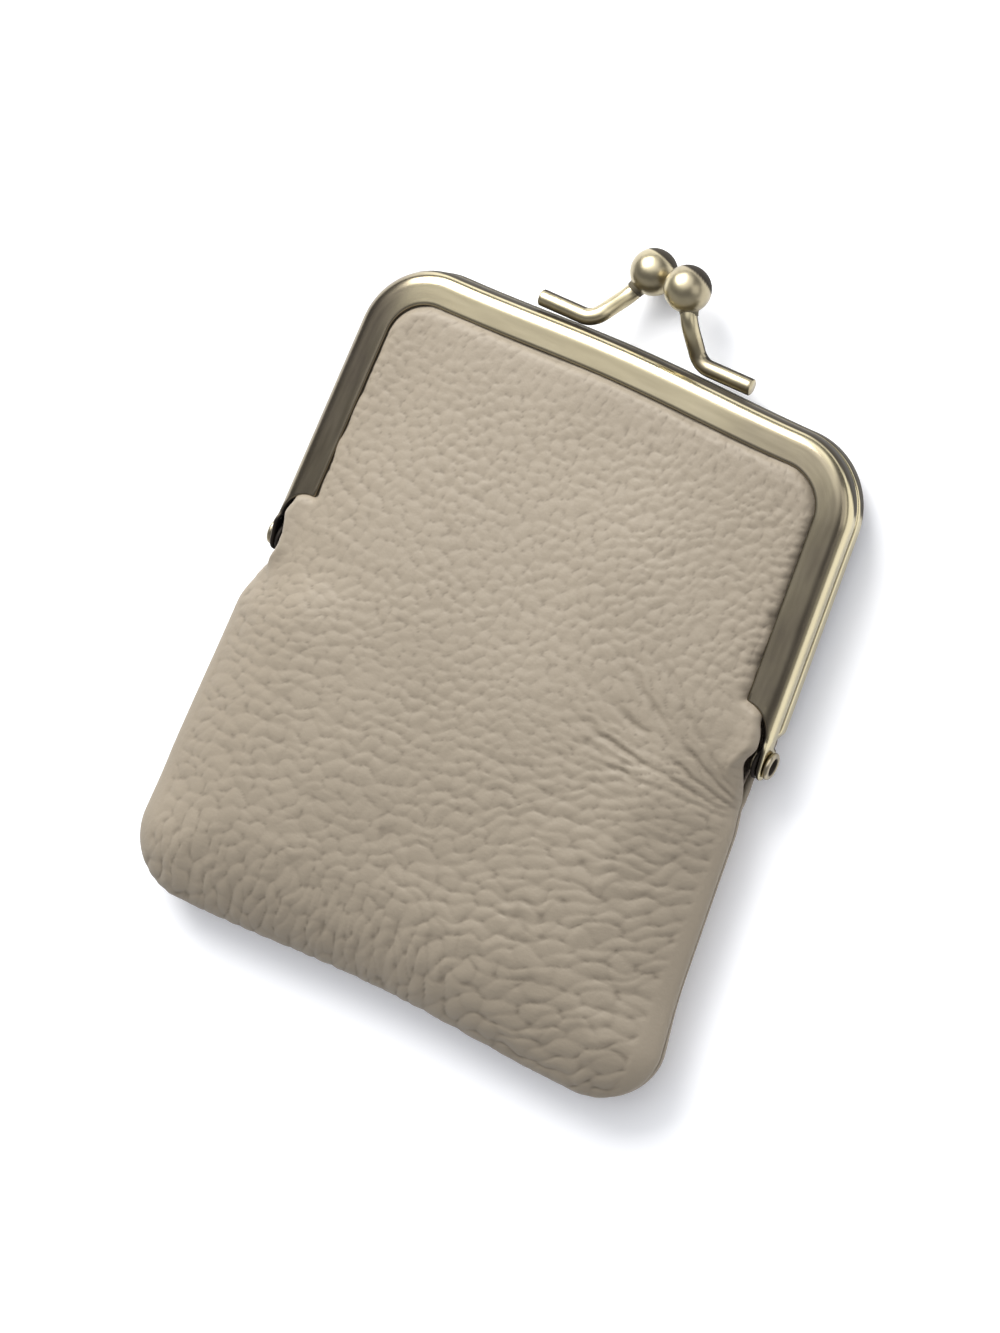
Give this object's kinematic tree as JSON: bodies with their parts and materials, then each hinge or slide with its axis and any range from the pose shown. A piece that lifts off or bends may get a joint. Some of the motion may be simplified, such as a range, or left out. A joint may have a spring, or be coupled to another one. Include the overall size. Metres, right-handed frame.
{
  "type": "kiss lock coin purse",
  "caption": "Small leather pouch hung in a hinged brass channel frame, closed by two crossing balls on bent wires.",
  "frame": {"origin": "under the middle of the closed purse's box, on the surface that its back lies on", "axes": "+X along the hinge to the right seen from the front, +Y from the pouch towards the clasp, +Z out of the front panel"},
  "size_m": [0.0914, 0.119, 0.015],
  "materials": {
    "antique_brass": "brushed antique brass, satin",
    "rivet_brass": "darkened brass",
    "pebbled_leather": "pebbled cowhide, soft sheen",
    "lining_cloth": "plain woven lining",
    "paper_cord": "twisted paper cord",
    "sewing_thread": "bonded thread"
  },
  "bodies": {
    "back_half": {"back_frame": "antique_brass", "right_hinge_rivet": "rivet_brass", "left_hinge_rivet": "rivet_brass", "back_clasp_stem": "antique_brass", "back_clasp_ball": "antique_brass", "front_leather_fold": "pebbled_leather", "front_leather_pouch": "pebbled_leather", "back_leather": "pebbled_leather", "front_lining_fold": "lining_cloth", "front_lining_pouch": "lining_cloth", "back_lining": "lining_cloth", "back_packing_cord": "paper_cord", "seam_thread": "sewing_thread"},
    "front_half": {"front_frame": "antique_brass", "front_clasp_stem": "antique_brass", "front_clasp_ball": "antique_brass", "front_leather_upper": "pebbled_leather", "front_lining_upper": "lining_cloth", "front_packing_cord": "paper_cord"}
  },
  "joints": [
    {"name": "mouth_hinge", "type": "hinge", "parent": "back_half", "child": "front_half", "pos_m": [0, -0.002, 0.0064], "axis": [1, 0, 0], "range_deg": [0, 90], "deforming": ["front_leather_fold", "front_lining_fold"]}
  ]
}
